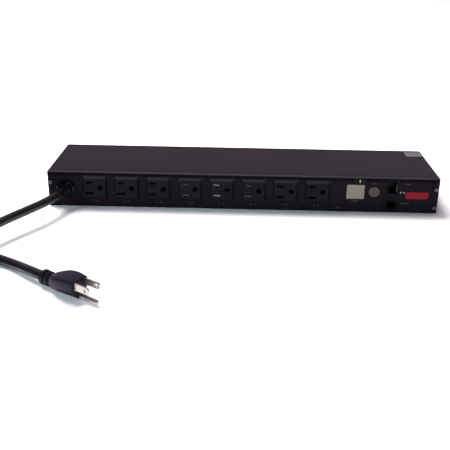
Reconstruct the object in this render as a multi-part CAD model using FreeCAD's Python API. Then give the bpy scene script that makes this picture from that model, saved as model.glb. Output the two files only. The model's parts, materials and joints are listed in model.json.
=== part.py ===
import FreeCAD, Part
import math
import os

V = FreeCAD.Vector
X_AXIS, Y_AXIS, Z_AXIS = V(1, 0, 0), V(0, 1, 0), V(0, 0, 1)

# One-unit-high rack power strip with eight switched outlets, a load display and a network port.
# Frame: +X along the outlet face, +Y from the outlet face to the blank face, +Z up,
# origin at the bottom centre of the strip without its cord. All sizes in millimetres.

# ---- Driving dimensions -------------------------------------------------------------------------
BODY_WIDTH, BODY_DEPTH, BODY_HEIGHT = 440.0, 104.0, 42.0
SHEET = 1.2                      # steel sheet of the tray and the cover
BEND = 2.0                       # outside radius of every sheet bend
LIP = 5.0                        # tray lip seen on top, along both long edges
SEAM = 0.6                       # gap between tray and cover
END_FLANGE = 7.0                 # cover flange wrapped onto the faces at each end
OUTLET_PROUD = 2.5               # outlet blocks stand this far out of the face
BADGE = 0.5                      # thickness of both badges
FRONT = -(BODY_DEPTH + BADGE - OUTLET_PROUD) / 2     # outlet face
BACK = FRONT + BODY_DEPTH                            # blank face
HALF = BODY_WIDTH / 2
TRAY_HALF = HALF - END_FLANGE - 0.3                  # half length of the tray's walls

SCREW_X, SCREW_HEIGHTS = HALF - 3.5, (7.0, 29.0)
BRACKET_Y, BRACKET_Z, BRACKET_HOLE = 50.0, 20.0, 2.1  # hole spacings and radius on each end
BRACKET_MID = BODY_HEIGHT / 2

OUTLETS, PITCH = 8, 35.74
SLOT_X = -172.35                 # middle of the blade slots of the first outlet
OUTLET_Z = 23.4
SLOT_RISE = 6.35                 # each blade slot from the middle: 12.7 mm between blades
SLOT_HALF = 1.35                 # half height of a blade slot
GROUND_X = 11.9                  # ground opening from the slots' middle
BLOCK_X, BLOCK_W, BLOCK_Z0, BLOCK_Z1 = 5.95, 25.4, 11.2, 37.3
GAP_LEFT, GAP_RIGHT, GAP_LOW, GAP_TOP = 0.6, 2.2, 0.6, 1.0        # panel window round each block
FLANGE_Y0, FLANGE_Y1 = 1.4, 3.4  # outlet flange behind the panel, depths from the face
HOUSING_DEPTH = 21.0

INDICATOR_X, INDICATOR_Z = 8.3, 7.0
GLAND_X, GLAND_Z = -199.5, 21.0
DISPLAY = (116.8, 136.6, 16.1, 32.9)                  # x from, to, z from, to
LOAD_LIGHTS_X, LOAD_LIGHT_Z = (125.7, 130.8, 135.0), 37.3
PORT_LIGHTS_X, PORT_LIGHT_Z = (177.0, 180.6), 24.8
BUTTON_X, BUTTON_Z, BUTTON_R, BUTTON_TRAVEL = 147.3, 25.2, 6.0, 1.0
NETWORK_JACK, NETWORK_MOUTH = (160.3, 174.6, 21.8, 39.0), (163.7, 173.0, 23.4, 36.6)
SERIAL_JACK, SERIAL_MOUTH = (158.1, 175.4, 3.4, 17.8), (162.9, 172.2, 6.0, 14.3)
BOARD_Y = 16.0                   # front of the control board, depth from the face
RELAY_BOARD_Z, BOARD_THICK = 8.0, 1.6
FRONT_BADGE = (182.6, 208.2, 17.5, 25.2)
REAR_BADGE = (-208.0, -181.0, 28.0, 36.0)
TOP_LABEL = (198.0, 217.5, 79.0, 96.5)               # x from, to, depth from, to

CORD_R = 4.75
NOSE_TURN = math.radians(15)     # the strain relief's nose bends towards the cord
NOSE_LENGTH, NOSE_R, NOSE_TIP_R = 18.0, 7.6, 5.5
THREAD_R, COLLAR_R, COLLAR_PROUD = 7.9, 10.8, 3.4
COIL_X, COIL_Y = -327.2, -184.2  # coil centre, y from the outlet face
COIL_INNER, COIL_OUTER, COIL_HEIGHT = 33.2, 83.2, 19.0
TIE = 0.8
PLUG_FACE = V(-138.2, -215.2, 15.4)                  # on the blade line, y from the outlet face
PLUG_HEADING = math.radians(-33.8)
PLUG_CORD_Z = 8.2
PLUG_LENGTH = 46.0
BLADE_RISE, GROUND_DROP = 6.35, 11.9

# Routes of the two cord stretches outside the coil: x, y from the outlet face, z.
LEAD_ROUTE = [
    (-204.16, -20.39, 21.0), (-208.88, -38.0, 21.0), (-226.0, -66.5, 20.2), (-246.5, -98.5, 19.0),
    (-255.5, -127.0, 18.4), (-253.5, -157.0, 16.4), (-248.8, -184.2, 14.4),
]
TAIL_ROUTE = [
    (-288.0, -116.3, 4.8), (-263.5, -130.0, 4.8), (-240.4, -144.0, 4.8), (-222.0, -154.3, 4.8),
    (-205.6, -165.6, 5.6), (-190.9, -179.9, PLUG_CORD_Z), (-176.43, -189.61, PLUG_CORD_Z),
]


# ---- Shared shapes ------------------------------------------------------------------------------
def box(x0, x1, depth0, depth1, z0, z1):
    """A block. Depths are measured from the outlet face."""
    return Part.makeBox(x1 - x0, depth1 - depth0, z1 - z0, V(x0, FRONT + depth0, z0))


def round_y(x, z, radius, depth0, depth1):
    """A cylinder along Y, between two depths from the outlet face."""
    return Part.makeCylinder(radius, depth1 - depth0, V(x, FRONT + depth0, z), Y_AXIS)


def round_z(x, depth, radius, z0, z1):
    return Part.makeCylinder(radius, z1 - z0, V(x, FRONT + depth, z0), Z_AXIS)


def joined(shapes):
    first, *rest = shapes
    return first.multiFuse(rest).removeSplitter() if rest else first


def rounded_face(u0, u1, v0, v1, radii, place):
    """Rectangle with rounded corners; radii run anticlockwise from the low corner."""
    corners = [(u0, v0, 180), (u1, v0, 270), (u1, v1, 0), (u0, v1, 90)]
    inward = [(1, 1), (-1, 1), (-1, -1), (1, -1)]
    edges, ends = [], []
    for (u, v, start), (iu, iv), radius in zip(corners, inward, radii):
        cu, cv = u + iu * radius, v + iv * radius
        turn = [math.radians(start + k * 45) for k in range(3)]
        points = [place(cu + radius * math.cos(t), cv + radius * math.sin(t)) for t in turn]
        if radius:
            edges.append(Part.Arc(*points).toShape())
        ends.append((points[0], points[2]))
    for k, (_, leave) in enumerate(ends):
        arrive = ends[(k + 1) % 4][0]
        edges.append(Part.LineSegment(leave, arrive).toShape())
    return Part.Face(Part.Wire(Part.__sortEdges__(edges)))


def plate(x0, x1, z0, z1, radius, depth0, depth1):
    """Rounded rectangle parallel to the outlet face."""
    face = rounded_face(x0, x1, z0, z1, [radius] * 4, lambda u, v: V(u, FRONT + depth0, v))
    return face.extrude(Y_AXIS * (depth1 - depth0))


def body_section(half, inset):
    """Prism of the strip's cross-section, rounded along its four long edges."""
    bend = BEND - inset
    face = rounded_face(FRONT + inset, BACK - inset, inset, BODY_HEIGHT - inset, [bend] * 4,
                        lambda u, v: V(-half, u, v))
    return face.extrude(X_AXIS * (2 * half))


def body_hull(inset):
    """The strip's outer form, rounded at its end edges too."""
    half, bend = HALF - inset, BEND - inset
    corner = min(bend, 2 - 1.4 * inset)
    plan = rounded_face(-half, half, FRONT + inset, BACK - inset, [corner] * 4, lambda u, v: V(u, v, -1))
    front = rounded_face(-half, half, inset - 5, BODY_HEIGHT - inset, [0.5, 0.5, bend, bend],
                         lambda u, v: V(u, FRONT - 1, v))
    hull = body_section(half, inset).common(plan.extrude(Z_AXIS * (BODY_HEIGHT + 2)))
    return hull.common(front.extrude(Y_AXIS * (BODY_DEPTH + 2)))


def hexagon(x, depth, z, radius, axis, height):
    """Hexagonal prism; radius is half the width over its flats."""
    reach = radius / math.cos(math.radians(30))
    side = X_AXIS if axis != X_AXIS else Y_AXIS
    other = axis.cross(side)
    centre = V(x, FRONT + depth, z)
    angles = [math.radians(60 * k + 30) for k in range(6)]
    points = [centre + side * (reach * math.cos(a)) + other * (reach * math.sin(a)) for a in angles]
    return Part.Face(Part.makePolygon(points + points[:1])).extrude(axis * height)


def bent_tube(points, radius, name=None):
    """Round tube along straight runs joined by arcs as large as the runs allow."""
    edges, start, length, radii = [], points[0], 0.0, []
    for before, corner, after in zip(points, points[1:], points[2:]):
        come, leave = corner - before, after - corner
        turn = come.getAngle(leave)
        setback = 0.45 * min(come.Length, leave.Length)
        bend = setback / math.tan(turn / 2)
        come.normalize()
        leave.normalize()
        first, last = corner - come * setback, corner + leave * setback
        inward = (leave - come).normalize()
        middle = corner + inward * (bend / math.cos(turn / 2) - bend)
        edges += [Part.LineSegment(start, first).toShape(), Part.Arc(first, middle, last).toShape()]
        length += (first - start).Length + bend * turn
        radii.append(bend)
        start = last
    edges.append(Part.LineSegment(start, points[-1]).toShape())
    length += (points[-1] - start).Length
    ring = Part.Wire(Part.makeCircle(radius, points[0], points[1] - points[0]))
    tube = Part.Wire(edges).makePipeShell([ring], True, False)
    if name:
        section = math.pi * radius ** 2
        print(name, "length", round(length, 1), "arc radii", [round(r, 1) for r in radii],
              "volume / (section x length)", round(tube.Volume / (section * length), 4))
    return tube


def from_face(route):
    """Route points, given from the outlet face, in the part's frame."""
    return [V(x, FRONT + y, z) for x, y, z in route]


# ---- Case ---------------------------------------------------------------------------------------
def outlet_xs():
    return [SLOT_X + PITCH * k for k in range(OUTLETS)]


def panel_openings():
    """Everything cut through the outlet face of the tray."""
    cuts = []
    for x in outlet_xs():
        low, high = x + BLOCK_X - BLOCK_W / 2 - GAP_LEFT, x + BLOCK_X + BLOCK_W / 2 + GAP_RIGHT
        cuts.append(plate(low, high, BLOCK_Z0 - GAP_LOW, BLOCK_Z1 + GAP_TOP, 1.0, -1, 3))
        cuts.append(round_y(x + INDICATOR_X, INDICATOR_Z, 1.3, -1, 3))
    cuts.append(round_y(GLAND_X, GLAND_Z, 8.1, -1, 3))
    for x0, x1, z0, z1 in (DISPLAY, NETWORK_JACK, SERIAL_JACK):
        cuts.append(box(x0 - 0.2, x1 + 0.2, -1, 3, z0 - 0.2, z1 + 0.2))
    for x in LOAD_LIGHTS_X:
        cuts.append(box(x - 1.1, x + 1.1, -1, 3, LOAD_LIGHT_Z - 1.8, LOAD_LIGHT_Z + 1.8))
    for x in PORT_LIGHTS_X:
        cuts.append(round_y(x, PORT_LIGHT_Z, 1.1, -1, 3))
    cuts.append(round_y(BUTTON_X, BUTTON_Z, BUTTON_R + 0.3, -1, 3))
    return cuts


def standoff_places():
    """Floor posts of the relay board and wall posts of the control board."""
    floor = [(x, depth) for x in (-186.0, -84.0, 87.0) for depth in (38.0, 92.0)]
    wall = [(x, z) for x in (107.5, 205.0) for z in (7.0, 35.0)]
    return floor, wall


GROUND_STUD = (99.0, 30.0)


def chassis_tray():
    """Floor, both long walls and their top lips, folded from one sheet."""
    tray = body_section(TRAY_HALF, 0).cut(body_section(TRAY_HALF, SHEET))
    tray = tray.cut(box(-HALF, HALF, LIP, BODY_DEPTH - LIP, BODY_HEIGHT - 2 * SHEET, BODY_HEIGHT + 1))
    extras = []
    reach = HALF - SHEET - 0.2
    for side in (-1, 1):
        near, far = sorted((side * (TRAY_HALF - 1), side * reach))
        extras.append(box(near, far, BEND, BODY_DEPTH - BEND, 0, SHEET))
        near, far = sorted((side * (TRAY_HALF - 2.2), side * (reach - 0.3)))
        for z in SCREW_HEIGHTS:
            top, low = z + 2.8, max(z - 2.8, SHEET)
            extras.append(box(near, far, SHEET, 2 * SHEET, low, top))
            extras.append(box(near, far, BODY_DEPTH - 2 * SHEET, BODY_DEPTH - SHEET, low, top))
    extras.append(round_z(*GROUND_STUD, 2.0, SHEET, 9.0))
    tray = joined([tray] + extras)
    pilot = [round_y(side * SCREW_X, z, 1.45, 0, 4) for side in (-1, 1) for z in SCREW_HEIGHTS]
    return tray.cut(Part.makeCompound(panel_openings() + pilot))


def top_cover():
    """Top plate with both end walls, flanges wrapped onto the faces and tongues under the lips."""
    shell = body_hull(0).cut(body_hull(SHEET))
    shell = shell.cut(box(-HALF + SHEET, HALF - SHEET, SHEET, BODY_DEPTH - SHEET, -1, 2 * SHEET))
    edge = LIP + SEAM
    keep = [box(-HALF, HALF, edge, BODY_DEPTH - edge, BODY_HEIGHT - SHEET, BODY_HEIGHT)]
    for side in (-1, 1):
        near, far = sorted((side * (HALF - END_FLANGE), side * HALF))
        keep.append(box(near, far, 0, BODY_DEPTH, 0, BODY_HEIGHT))
    cover = shell.common(joined(keep))
    tongues = []
    under = BODY_HEIGHT - 2 * SHEET - 0.3
    for depth0, depth1 in ((2.4, edge + 2.4), (BODY_DEPTH - edge - 2.4, BODY_DEPTH - 2.4)):
        tongues.append(box(-TRAY_HALF + 1, TRAY_HALF - 1, depth0, depth1, under, under + SHEET))
    for depth0 in (edge, BODY_DEPTH - edge - 2.4):
        tongues.append(box(-TRAY_HALF + 1, TRAY_HALF - 1, depth0, depth0 + 2.4, under, BODY_HEIGHT - 0.5))
    cover = joined([cover] + tongues)
    holes = [round_y(side * SCREW_X, z, 1.6, -1, 2) for side in (-1, 1) for z in SCREW_HEIGHTS]
    holes += [bracket_hole(side, dy, dz) for side in (-1, 1) for dy, dz in bracket_places()]
    return cover.cut(Part.makeCompound(holes))


def bracket_places():
    return [(dy, dz) for dy in (-BRACKET_Y / 2, BRACKET_Y / 2) for dz in (-BRACKET_Z / 2, BRACKET_Z / 2)]


def bracket_hole(side, dy, dz, x0=HALF - 4, x1=HALF + 1, radius=BRACKET_HOLE):
    start = V(side * x0, (FRONT + BACK) / 2 + dy, BRACKET_MID + dz)
    return Part.makeCylinder(radius, x1 - x0, start, X_AXIS * side)


def bracket_nuts():
    """Clinch nuts behind the bracket holes."""
    nuts = []
    for side in (-1, 1):
        for dy, dz in bracket_places():
            x0, x1 = HALF - SHEET - 2.4, HALF - SHEET
            nuts.append(bracket_hole(side, dy, dz, x0, x1, 3.6).cut(bracket_hole(side, dy, dz)))
    return Part.makeCompound(nuts)


def cover_screws():
    """Pan-head screws with a cross recess that hold the cover's flanges to the tray."""
    screws = []
    for side in (-1, 1):
        for z in SCREW_HEIGHTS:
            x = side * SCREW_X
            head = round_y(x, z, 2.6, -1.3, 0)
            head = head.makeFillet(0.7, [e for e in head.Edges if e.Length > 16 and
                                         abs(e.CenterOfMass.y - (FRONT - 1.3)) < 0.01])
            cross = [box(x - 1.5, x + 1.5, -2, -0.6, z - 0.3, z + 0.3),
                     box(x - 0.3, x + 0.3, -2, -0.6, z - 1.5, z + 1.5)]
            screws.append(head.fuse(round_y(x, z, 1.35, 0, 7)).cut(joined(cross)))
    return Part.makeCompound(screws)


def badge(edges, depth0):
    x0, x1, z0, z1 = edges
    return plate(x0, x1, z0, z1, 1.2, depth0, depth0 + BADGE)


def top_label():
    x0, x1, depth0, depth1 = TOP_LABEL
    face = rounded_face(x0, x1, FRONT + depth0, FRONT + depth1, [0.8] * 4,
                        lambda u, v: V(u, v, BODY_HEIGHT))
    return face.extrude(Z_AXIS * 0.2)


# ---- Outlets ------------------------------------------------------------------------------------
def outlet_housing(x):
    """Insulating body of one outlet: proud block, rear flange and three contact chambers."""
    low, high = x + BLOCK_X - BLOCK_W / 2, x + BLOCK_X + BLOCK_W / 2
    block = box(low, high, -OUTLET_PROUD, FLANGE_Y0 + 0.5, BLOCK_Z0, BLOCK_Z1)
    rim = [e for e in block.Edges if abs(e.CenterOfMass.y - (FRONT - OUTLET_PROUD)) < 0.01]
    block = block.makeChamfer(0.9, rim)
    flange = box(low - 2.5, high + 2.5, FLANGE_Y0, FLANGE_Y1, BLOCK_Z0 - 2.0, BLOCK_Z1 + 1.6)
    rear = box(low + 0.3, high - 0.3, FLANGE_Y1 - 0.5, HOUSING_DEPTH, BLOCK_Z0 + 0.3, BLOCK_Z1 - 0.3)
    skin = 2.2 - OUTLET_PROUD
    cuts = []
    for side, slot, chamber in ((1, 3.5, 4.6), (-1, 4.4, 5.4)):
        z = OUTLET_Z + side * SLOT_RISE
        cuts.append(box(x - slot, x + slot, -OUTLET_PROUD - 1, 1, z - SLOT_HALF, z + SLOT_HALF))
        cuts.append(box(x - chamber, x + chamber, skin, HOUSING_DEPTH + 1, z - 2.4, z + 2.4))
    ground = x + GROUND_X
    cuts.append(round_y(ground, OUTLET_Z, 3.1, -OUTLET_PROUD - 1, 1))
    cuts.append(box(ground - 2.3, ground, -OUTLET_PROUD - 1, 1, OUTLET_Z - 3.1, OUTLET_Z + 3.1))
    cuts.append(box(ground - 3.6, ground + 3.6, skin, HOUSING_DEPTH + 1, OUTLET_Z - 3.7, OUTLET_Z + 3.7))
    return joined([block, flange, rear]).cut(Part.makeCompound(cuts))


LEAF, LEAF_Y0, LEAF_Y1 = 0.6, 0.2, 17.0


def spring_clip(x, z, half_width, gap):
    """Two contact leaves joined by a base at the back."""
    leaves = [box(x - half_width, x + half_width, LEAF_Y0, LEAF_Y1, z + side * (gap + LEAF / 2) - LEAF / 2,
                  z + side * (gap + LEAF / 2) + LEAF / 2) for side in (-1, 1)]
    reach = gap + LEAF
    return leaves + [box(x - half_width, x + half_width, LEAF_Y1, LEAF_Y1 + 0.8, z - reach, z + reach)]


STRIP_Y = 37.2                   # where the hot strips turn down to the relay board


def hot_contact(x):
    """Hot clip with the formed strip that runs back and down to its relay."""
    z = OUTLET_Z + SLOT_RISE
    board_top = RELAY_BOARD_Z + BOARD_THICK
    strip = [box(x - 2, x + 2, LEAF_Y1, STRIP_Y + 0.8, z - 0.4, z + 0.4),
             box(x - 2, x + 2, STRIP_Y, STRIP_Y + 0.8, board_top, z + 0.4)]
    return joined(spring_clip(x, z, 3.2, 1.0) + strip)


BUS_Y0, BUS_Y1, BUS_LEFT = 22.0, 23.2, -186.0


def bus(clip_offset, z, half_width, gap, right):
    """Bar behind all the outlets with a clip for each."""
    parts = [box(BUS_LEFT, right, BUS_Y0, BUS_Y1, z - 2.5, z + 2.5)]
    for x in outlet_xs():
        parts += spring_clip(x + clip_offset, z, half_width, gap)
        parts.append(box(x + clip_offset - 2, x + clip_offset + 2, LEAF_Y1, BUS_Y0 + 0.2, z - 0.5, z + 0.5))
    return parts


def neutral_bus():
    return joined(bus(0, OUTLET_Z - SLOT_RISE, 4.2, 1.0, 92.0))


def ground_bus():
    """Ground bar with its clips and the leg that is nutted to the tray's stud."""
    stud_x, stud_depth = GROUND_STUD
    parts = bus(GROUND_X, OUTLET_Z, 3.0, 2.5, 103.0)
    parts.append(box(96.0, 103.0, BUS_Y0, BUS_Y1, SHEET, OUTLET_Z))
    parts.append(box(95.0, 103.0, BUS_Y0, stud_depth + 5, SHEET, 2 * SHEET))
    return joined(parts).cut(round_z(stud_x, stud_depth, 2.1, 0, 4))


def ground_nut():
    x, depth = GROUND_STUD
    return hexagon(x, depth, 2 * SHEET, 3.5, Z_AXIS, 3.2).cut(round_z(x, depth, 2.05, 0, 9))


def bus_insulator():
    """Fibre sheet between the bus bars and the relay board, slotted for the hot strips."""
    sheet = box(BUS_LEFT, 103.5, 25.0, 26.0, 3.0, 38.5)
    z = OUTLET_Z + SLOT_RISE
    return sheet.cut(joined([box(x - 2.5, x + 2.5, 24, 27, z - 0.9, z + 0.9) for x in outlet_xs()]))


def outlet_indicators():
    """One small domed lens under each outlet."""
    lenses = []
    for x in outlet_xs():
        lens = round_y(x + INDICATOR_X, INDICATOR_Z, 1.25, -0.4, 3).fuse(
            round_y(x + INDICATOR_X, INDICATOR_Z, 1.7, SHEET, 3))
        lenses.append(lens)
    return Part.makeCompound(lenses)


# ---- Control end --------------------------------------------------------------------------------
def panel_indicators():
    """Three load bars above the display and two round status lenses beside the network jack."""
    lights = []
    for x in LOAD_LIGHTS_X:
        lights.append(box(x - 1, x + 1, -0.3, SHEET, LOAD_LIGHT_Z - 1.7, LOAD_LIGHT_Z + 1.7))
    for x in PORT_LIGHTS_X:
        lights.append(round_y(x, PORT_LIGHT_Z, 1.0, -0.4, 4))
    return Part.makeCompound(lights)


def display_window():
    x0, x1, z0, z1 = DISPLAY
    lens = plate(x0, x1, z0, z1, 0.8, -0.4, SHEET + 0.4)
    return lens.makeChamfer(0.3, [e for e in lens.Edges if abs(e.CenterOfMass.y - (FRONT - 0.4)) < 0.01])


def display_module():
    """Two-digit display on the control board."""
    x0, x1, z0, z1 = DISPLAY
    case = box(x0 + 1, x1 - 1, SHEET + 0.8, 10.0, z0 + 0.6, z1 - 0.6)
    pins = [box(x - 0.25, x + 0.25, 10.0, BOARD_Y, z - 0.25, z + 0.25)
            for x in [x0 + 4 + 2.54 * k for k in range(6)] for z in (z0 + 2, z1 - 2)]
    return joined([case] + pins)


def control_button():
    """Round cap with a dished, ringed face; its skirt is held behind the panel."""
    face = -1.6
    cap = round_y(BUTTON_X, BUTTON_Z, BUTTON_R, face, 5.0)
    cap = cap.makeFillet(0.8, [e for e in cap.Edges if e.Length > 30 and
                               abs(e.CenterOfMass.y - (FRONT + face)) < 0.01])
    skirt = round_y(BUTTON_X, BUTTON_Z, BUTTON_R + 1.0, SHEET + 0.2, SHEET + 1.4)
    ring = round_y(BUTTON_X, BUTTON_Z, 3.9, face - 1, face + 0.45).cut(
        round_y(BUTTON_X, BUTTON_Z, 3.2, face - 1, face + 1))
    dish = round_y(BUTTON_X, BUTTON_Z, 1.5, face - 1, face + 0.4)
    hollow = round_y(BUTTON_X, BUTTON_Z, BUTTON_R - 1.2, 2.0, 6.0)
    boss = round_y(BUTTON_X, BUTTON_Z, 2.6, 1.0, 5.0)
    return cap.fuse(skirt).cut(Part.makeCompound([ring, dish])).cut(hollow).fuse(boss)


PLUNGER_R, PLUNGER_END = 1.6, 11.5
SWITCH_HALF, SWITCH_Y0, SWITCH_BORE_END = 5.0, 8.0, 14.0


def button_plunger():
    """Switch plunger that the cap is pushed onto."""
    return round_y(BUTTON_X, BUTTON_Z, PLUNGER_R, 5.0, PLUNGER_END)


def button_switch():
    """Push switch on the control board, bored for its plunger; the bore leaves room for the travel."""
    case = box(BUTTON_X - SWITCH_HALF, BUTTON_X + SWITCH_HALF, SWITCH_Y0, BOARD_Y,
               BUTTON_Z - SWITCH_HALF, BUTTON_Z + SWITCH_HALF)
    bore_end = max(SWITCH_BORE_END, PLUNGER_END + BUTTON_TRAVEL)
    return case.cut(round_y(BUTTON_X, BUTTON_Z, PLUNGER_R + 0.2, SWITCH_Y0 - 1, bore_end))


def jack(outer, mouth, notch):
    """Moulded jack body with its mouth and a latch notch on one side."""
    x0, x1, z0, z1 = outer
    mx0, mx1, mz0, mz1 = mouth
    body = box(x0, x1, -0.3, BOARD_Y, z0, z1)
    nx0, nx1, nz0, nz1 = notch
    return body.cut(joined([box(mx0, mx1, -1, 12, mz0, mz1), box(nx0, nx1, -1, 12, nz0, nz1)]))


def network_jack():
    x0, x1, z0, z1 = NETWORK_MOUTH
    return jack(NETWORK_JACK, NETWORK_MOUTH, (x0 - 1.6, x0, z0 + 3, z1 - 3))


def serial_jack():
    x0, x1, z0, z1 = SERIAL_MOUTH
    return jack(SERIAL_JACK, SERIAL_MOUTH, (x0 + 2.6, x1 - 2.6, z0 - 1.2, z0))


def network_jack_contacts():
    """Eight spring wires along the mouth's right side."""
    x1, z0 = NETWORK_MOUTH[1], NETWORK_MOUTH[2]
    return Part.makeCompound([box(x1 - 0.6, x1, 2, 12, z0 + 1.6 + 1.1 * k, z0 + 2.1 + 1.1 * k)
                              for k in range(8)])


def serial_jack_contacts():
    """Six spring wires under the mouth's top."""
    x0, z1 = SERIAL_MOUTH[0], SERIAL_MOUTH[3]
    return Part.makeCompound([box(x0 + 1.5 + 1.1 * k, x0 + 2.0 + 1.1 * k, 2, 12, z1 - 0.6, z1)
                              for k in range(6)])


def control_board():
    board = box(105.0, 207.5, BOARD_Y, BOARD_Y + BOARD_THICK, 3.0, 38.5)
    wall = standoff_places()[1]
    return board.cut(joined([round_y(x, z, 1.6, BOARD_Y - 1, BOARD_Y + 3) for x, z in wall]))


def processor_chip():
    rear = BOARD_Y + BOARD_THICK
    return box(178.0, 196.0, rear, rear + 1.8, 12.0, 30.0)


def ribbon_cable():
    """Flat cable from the relay board to the back of the control board."""
    rear, top = BOARD_Y + BOARD_THICK, RELAY_BOARD_Z + BOARD_THICK
    route = [(84.0, 71.0), (124.0, 71.0), (140.0, 55.0), (140.0, rear)]
    offset = [(84.0, 72.0), (124.4, 72.0), (141.0, 55.4), (141.0, rear)]
    outline = [V(x, FRONT + depth, top) for x, depth in route + offset[::-1]]
    return Part.Face(Part.makePolygon(outline + outline[:1])).extrude(Z_AXIS * 13)


# ---- Power end ----------------------------------------------------------------------------------
def relay_board():
    board = box(-190.0, 92.0, 34.0, 96.0, RELAY_BOARD_Z, RELAY_BOARD_Z + BOARD_THICK)
    floor = standoff_places()[0]
    return board.cut(joined([round_z(x, depth, 1.6, 0, 20) for x, depth in floor]))


RELAY_W, RELAY_Y0, RELAY_Y1, RELAY_HEIGHT = 15.0, 44.0, 64.0, 16.0


def relays():
    """One relay behind each outlet."""
    top, half = RELAY_BOARD_Z + BOARD_THICK, RELAY_W / 2
    return Part.makeCompound([box(x - half, x + half, RELAY_Y0, RELAY_Y1, top, top + RELAY_HEIGHT)
                              for x in outlet_xs()])


def transformer():
    """Laminated core with the winding that goes round its middle leg."""
    top = RELAY_BOARD_Z + BOARD_THICK
    x, legs = -70.0, (8.0, 7.0, 10.0, 7.0, 8.0)
    edges = [x + sum(legs[:k]) for k in range(6)]
    core = box(edges[0], edges[5], 68, 92, top, top + 26)
    for left, right in ((edges[1], edges[2]), (edges[3], edges[4])):
        core = core.cut(box(left, right, 67, 93, top + 6, top + 20))
    coil = box(edges[1], edges[4], 64, 96, top + 6, top + 20)
    return Part.makeCompound([core, coil.cut(box(edges[2], edges[3], 68, 92, top + 5, top + 21))])


def filter_capacitor():
    return round_z(-10.0, 82.0, 9.0, RELAY_BOARD_Z + BOARD_THICK, 33.0)


SENSOR_X, SENSOR_DEPTH, SENSOR_Z = -182.0, 76.0, 21.0


def current_sensor():
    """Current transformer that the line wire passes through."""
    top = RELAY_BOARD_Z + BOARD_THICK
    case = box(SENSOR_X - 4, SENSOR_X + 4, SENSOR_DEPTH - 10, SENSOR_DEPTH + 10, top, top + 22)
    hole = Part.makeCylinder(4, 12, V(SENSOR_X - 6, FRONT + SENSOR_DEPTH, SENSOR_Z), X_AXIS)
    return case.cut(hole)


WIRE_R, WIRE_START = 1.7, 13.0


def line_wire():
    top = RELAY_BOARD_Z + BOARD_THICK
    high, near = GLAND_Z + 3.4, WIRE_START + 6
    route = [(GLAND_X, WIRE_START, high), (GLAND_X, near, high), (GLAND_X - 0.5, 45.0, 25.5),
             (-198.5, SENSOR_DEPTH, SENSOR_Z), (-171.0, SENSOR_DEPTH, SENSOR_Z), (-171.0, SENSOR_DEPTH, top)]
    return bent_tube(from_face(route), WIRE_R)


def neutral_wire():
    z = OUTLET_Z - SLOT_RISE
    x, start_z = GLAND_X - 3.0, GLAND_Z - 1.8
    route = [(x, WIRE_START, start_z), (x, WIRE_START + 3, start_z), (x, 22.6, z), (BUS_LEFT, 22.6, z)]
    return bent_tube(from_face(route), WIRE_R)


def ground_wire():
    x, start_z = GLAND_X + 3.0, GLAND_Z - 1.8
    route = [(x, WIRE_START, start_z), (x, WIRE_START + 3, start_z), (x, 22.6, OUTLET_Z),
             (BUS_LEFT, 22.6, OUTLET_Z)]
    return bent_tube(from_face(route), WIRE_R)


def board_standoffs():
    """Floor posts under the relay board and wall posts in front of the control board."""
    floor, wall = standoff_places()
    posts = [round_z(x, depth, 3.0, SHEET, RELAY_BOARD_Z).cut(round_z(x, depth, 1.5, 0, 20))
             for x, depth in floor]
    posts += [round_y(x, z, 3.0, SHEET, BOARD_Y).cut(round_y(x, z, 1.5, 2, 20)) for x, z in wall]
    return Part.makeCompound(posts)


def board_screws():
    floor, wall = standoff_places()
    top, rear = RELAY_BOARD_Z + BOARD_THICK, BOARD_Y + BOARD_THICK
    screws = [round_z(x, depth, 2.8, top, top + 1.8).fuse(round_z(x, depth, 1.4, 3.0, top + 1))
              for x, depth in floor]
    screws += [round_y(x, z, 2.8, rear, rear + 1.8).fuse(round_y(x, z, 1.4, 10, rear + 1)) for x, z in wall]
    return Part.makeCompound(screws)


# ---- Cord and plug ------------------------------------------------------------------------------
def strain_relief():
    """Moulded bushing: threaded body through the wall, round collar and a tapered nose."""
    body = round_y(GLAND_X, GLAND_Z, THREAD_R, 0, WIRE_START)
    collar = round_y(GLAND_X, GLAND_Z, COLLAR_R, -COLLAR_PROUD, 0)
    collar = collar.makeFillet(1.8, [e for e in collar.Edges if e.Length > 60 and
                                     abs(e.CenterOfMass.y - (FRONT - COLLAR_PROUD)) < 0.01])
    heading = V(-math.sin(NOSE_TURN), -math.cos(NOSE_TURN), 0)
    nose = Part.makeCone(NOSE_R, NOSE_TIP_R, NOSE_LENGTH, V(GLAND_X, FRONT - 3.0, GLAND_Z), heading)
    return joined([body, collar, nose])


def strain_relief_nut():
    nut = hexagon(GLAND_X, SHEET, GLAND_Z, 9.6, Y_AXIS, 4.0)
    return nut.cut(round_y(GLAND_X, GLAND_Z, THREAD_R + 0.1, 0, 9))


def cord_coil():
    """Outer form of the put-away coil, with a shallow groove under it for the tie."""
    ring = round_z(COIL_X, COIL_Y, COIL_OUTER, 0, COIL_HEIGHT)
    ring = ring.cut(round_z(COIL_X, COIL_Y, COIL_INNER, -1, COIL_HEIGHT + 1))
    return ring.cut(box(COIL_X - 100, COIL_X, COIL_Y - 8.2, COIL_Y + 8.2, -1, TIE))


def coil_tie():
    """Strap closed round the coil's turns."""
    x0, x1 = COIL_X - COIL_OUTER, COIL_X - COIL_INNER
    strap = box(x0 - TIE, x1 + 2 * TIE, COIL_Y - 8, COIL_Y + 8, 0.0, COIL_HEIGHT + TIE)
    hollow = round_z(COIL_X, COIL_Y, COIL_OUTER + 0.02, TIE, COIL_HEIGHT).cut(
        round_z(COIL_X, COIL_Y, COIL_INNER - 0.02, 0, COIL_HEIGHT + 1))
    return strap.cut(hollow)


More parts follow.
